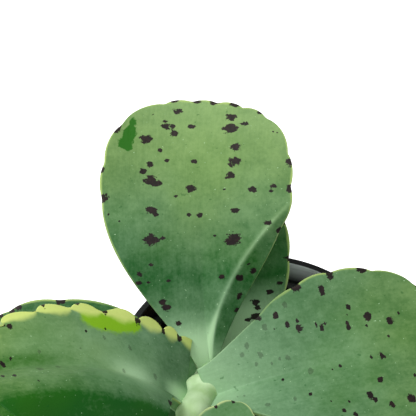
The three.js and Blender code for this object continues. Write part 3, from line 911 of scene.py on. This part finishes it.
# %% Pot
POT_RADII = dict(rim=51, collar=49.8, shoulder=46.6, foot=35)
POT_HEIGHT = 90
COLLAR_HEIGHT = 13
LIP_HEIGHT = 1.6
WALL = 1.2
FLOOR = 1.8
POT_STEPS = 160
DRAIN_HOLES = 6
DRAIN_RADIUS = 4
DRAIN_RING = 25
SHEEN_START = 4
SMOOTH_ANGLE = math.radians(35)
WELD_DISTANCE = 0.00002


def pot_outline():
    """Radius and height of each corner of the wall, from the axis out, up and back to the axis."""
    rim, collar, shoulder, foot = (POT_RADII[key] for key in ("rim", "collar", "shoulder", "foot"))
    step = POT_HEIGHT - COLLAR_HEIGHT
    lip = POT_HEIGHT - LIP_HEIGHT
    return [
        (0, 0), (foot - 3, 0), (foot - 1, 0), (foot - 0.3, 0.3), (foot, 1), (foot + 0.4, 4),
        (shoulder - 0.4, step - 3), (shoulder, step - 0.4), (shoulder + 0.4, step),
        (collar - 0.9, step + 0.5), (collar - 0.5, step + 1), (collar - 0.4, step + 2.5),
        (collar - 0.05, lip - 0.6), (collar + 0.2, lip), (rim - 0.3, lip + 0.15), (rim, lip + 0.5),
        (rim, POT_HEIGHT - 0.5), (rim - 0.2, POT_HEIGHT - 0.1), (rim - 0.6, POT_HEIGHT),
        (collar - WALL + 0.3, POT_HEIGHT), (collar - WALL, POT_HEIGHT - 0.3),
        (collar - WALL - 0.1, lip), (collar - 0.5 - WALL, step + 1 + WALL),
        (collar - 1 - WALL, step + WALL + 0.4),
        (shoulder - WALL + 0.6, step + WALL), (shoulder - WALL, step + WALL - 0.5),
        (foot - WALL + 0.3, FLOOR + 3), (foot - WALL, FLOOR + 1), (foot - WALL - 1, FLOOR), (0, FLOOR),
    ]


def model_pot():
    """The pot as one turned wall with drain holes."""
    mesh = bpy.data.meshes.new("pot_wall")
    outline = pot_outline()
    edges = [(index, index + 1) for index in range(len(outline) - 1)]
    mesh.from_pydata([(r * MM, 0, z * MM) for r, z in outline], edges, [])
    piece = bpy.data.objects.new("pot_wall", mesh)
    bpy.context.scene.collection.objects.link(piece)
    deselect_all()
    bpy.context.view_layer.objects.active = piece
    piece.select_set(True)
    bpy.ops.object.mode_set(mode="EDIT")
    bpy.ops.mesh.select_all(action="SELECT")
    bpy.ops.mesh.spin(steps=POT_STEPS, angle=2 * math.pi, center=(0, 0, 0), axis=(0, 0, 1))
    bpy.ops.mesh.select_all(action="SELECT")
    bpy.ops.mesh.remove_doubles(threshold=WELD_DISTANCE)
    bpy.ops.mesh.normals_make_consistent(inside=False)
    bpy.ops.object.mode_set(mode="OBJECT")
    for hole in range(DRAIN_HOLES):
        angle = hole / DRAIN_HOLES * 2 * math.pi
        place = (DRAIN_RING * MM * math.cos(angle), DRAIN_RING * MM * math.sin(angle), 0)
        deselect_all()
        bpy.ops.mesh.primitive_cylinder_add(
            vertices=40, radius=DRAIN_RADIUS * MM, depth=FLOOR * 4 * MM, location=place
        )
        drill = bpy.context.object
        cut = piece.modifiers.new("drain", "BOOLEAN")
        cut.operation = "DIFFERENCE"
        cut.solver = "EXACT"
        cut.object = drill
        bpy.context.view_layer.objects.active = piece
        bpy.ops.object.modifier_apply(modifier="drain")
        bpy.data.objects.remove(drill)
    deselect_all()
    piece.select_set(True)
    bpy.context.view_layer.objects.active = piece
    bpy.ops.object.shade_smooth_by_angle(angle=SMOOTH_ANGLE)
    corners = corners_of(piece.data) / MM
    radius = np.hypot(corners[:, 0], corners[:, 1])
    inside = radius < POT_RADII["collar"] - WALL + 0.1
    in_collar = corners[:, 2] > POT_HEIGHT - COLLAR_HEIGHT + SHEEN_START
    # only the right half of the inner collar gets the painted sheen
    painted_sheen_area = inside & in_collar & (corners[:, 0] > 0)
    set_marks(piece.data, inner=painted_sheen_area * 1.0)
    return piece


def pot_finish():
    plastic = Finish("pot_plastic", roughness=0.35, Specular_IOR_Level=0.3)
    scuffs_at = plastic.add("Mapping", {"Vector": plastic.place(), "Scale": (1, 1, 7)})
    scuffs = plastic.noise(120, 5, scuffs_at)
    # pale grey painted sheen on the right half of the inner collar, streaked by the scuffs
    painted_sheen = plastic.math("MULTIPLY", plastic.mark("inner"), plastic.mask(scuffs, -0.4, 0.6))
    black = paint(0.006, 0.0065, 0.007)
    colour = plastic.blend(painted_sheen, black, paint(0.82, 0.83, 0.90))
    roughness = plastic.math("MULTIPLY_ADD", scuffs, 0.3, 0.25)
    return plastic.finish(colour, roughness, plastic.noise(1400, 2), 0.00004)


pot = model_pot()
pot.data.materials.append(pot_finish())
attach(pot, "root")
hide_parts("pot")
print("pot faces:", len(pot.data.polygons))

# %% [markdown]
# Potting mix is loose crumbs of peat and bark with some white perlite. The solid ball below stays as
# the bed. One lumpy crumb is modelled, and copies of it in a few sizes are strewn over the top and
# joined into one piece.

# %% Potting mix
CRUMBS = 900
PERLITE = 60
SOIL_LEVEL = 75
SOIL_RADIUS = 42.6


def soil_height(x, y):
    """Height of the solid bed at a place, in millimetres."""
    waves = 0.7 * math.sin(x * 0.31 + 1) * math.cos(y * 0.27)
    ripples = 0.35 * math.sin(x * 0.7 - y * 0.6)
    return SOIL_LEVEL + waves + ripples


def crumb_shape(draw):
    """Corners and faces of one lumpy crumb of radius 1."""
    shape = bmesh.new()
    bmesh.ops.create_icosphere(shape, subdivisions=1, radius=1)
    corners = np.array([vertex.co[:] for vertex in shape.verts])
    faces = [[vertex.index for vertex in face.verts] for face in shape.faces]
    shape.free()
    lumps = np.array([draw.uniform(0.7, 1.2) for _ in corners])
    return corners * lumps[:, None], faces


def strew(name, count, sizes, flatness, seed):
    """Many crumbs on the bed, as one mesh."""
    draw = random.Random(seed)
    corners, faces = [], []
    for _ in range(count):
        shape, shape_faces = crumb_shape(draw)
        radius = SOIL_RADIUS * math.sqrt(draw.random())
        angle = draw.uniform(0, 2 * math.pi)
        x, y = radius * math.cos(angle), radius * math.sin(angle)
        size = draw.uniform(*sizes)
        stretch = np.array([draw.uniform(0.8, 1.6), draw.uniform(0.7, 1.1), flatness])
        spin = draw.uniform(0, 2 * math.pi)
        turn = np.array([
            [math.cos(spin), -math.sin(spin), 0], [math.sin(spin), math.cos(spin), 0], [0, 0, 1],
        ])
        middle = np.array([x, y, soil_height(x, y) + size * flatness * 0.3])
        placed = (shape * stretch * size) @ turn.T + middle
        start = len(corners)
        corners.extend(placed * MM)
        faces.extend([[start + corner for corner in face] for face in shape_faces])
    mesh = bpy.data.meshes.new(name)
    mesh.from_pydata([tuple(corner) for corner in corners], [], faces)
    piece = bpy.data.objects.new(name, mesh)
    bpy.context.scene.collection.objects.link(piece)
    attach(piece, "root")
    return piece


def mix_finish():
    mix = Finish("potting_mix", roughness=0.9)
    clumps = mix.noise(260, 5)
    fibres = mix.noise(1100, 4)
    colour = mix.blend(mix.mask(clumps, 0.35, 0.7), paint(0.008, 0.005, 0.003), paint(0.055, 0.03, 0.015))
    colour = mix.blend(mix.mask(fibres, 0.62, 0.75), colour, paint(0.12, 0.07, 0.035))
    return mix.finish(colour, None, fibres, 0.0008)


def perlite_finish():
    stone = Finish("perlite", roughness=0.85)
    pores = stone.noise(1500, 4)
    colour = stone.blend(stone.mask(pores, 0.35, 0.6), paint(0.30, 0.27, 0.22), paint(0.62, 0.60, 0.55))
    return stone.finish(colour, None, pores, 0.0004)


MIX = mix_finish()
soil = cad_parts["soil"]
soil.data.materials.clear()
soil.data.materials.append(MIX)
crumbs = strew("soil_crumbs", CRUMBS, (0.5, 1.6), 0.6, 3)
crumbs.data.materials.append(MIX)
perlite = strew("soil_perlite", PERLITE, (0.5, 1.0), 0.8, 4)
perlite.data.materials.append(perlite_finish())
print("crumbs:", CRUMBS, "perlite:", PERLITE)

# %% [markdown]
# The feed grains are small coated beads. Each is an icosphere at its node's place, dented a little, so
# that no two are the same ball.

# %% Feed grains
GRAIN_COUNT = 7
DENT_DEPTH = 0.05


def grain_finish():
    coat = Finish("feed_grain", roughness=0.35)
    tint = coat.noise(700, 3)
    colour = coat.blend(coat.mask(tint, 0.35, 0.7), paint(0.50, 0.25, 0.01), paint(0.66, 0.42, 0.05))
    return coat.finish(colour, None, tint, 0.0001)


GRAIN_COAT = grain_finish()
for number in range(1, GRAIN_COUNT + 1):
    low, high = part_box(f"feed_grain_{number}")
    middle = (low + high) / 2
    radius = (high.x - low.x) / 2
    deselect_all()
    bpy.ops.mesh.primitive_ico_sphere_add(subdivisions=3, radius=radius)
    bead = bpy.context.object
    bead.name = f"feed_bead_{number}"
    spots = corners_of(bead.data)
    swings = np.sin(spots[:, 0] / radius * 3 + number) * np.cos(spots[:, 1] / radius * 2.5)
    spots = spots * (1 + DENT_DEPTH * swings)[:, None] + np.array(middle)
    bead.data.vertices.foreach_set("co", spots.astype(np.float32).ravel())
    bpy.ops.object.shade_smooth()
    bead.data.materials.append(GRAIN_COAT)
    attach(bead, "root")
    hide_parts(f"feed_grain_{number}")
print("beads:", GRAIN_COUNT)

# %% Finish
print("scene built")
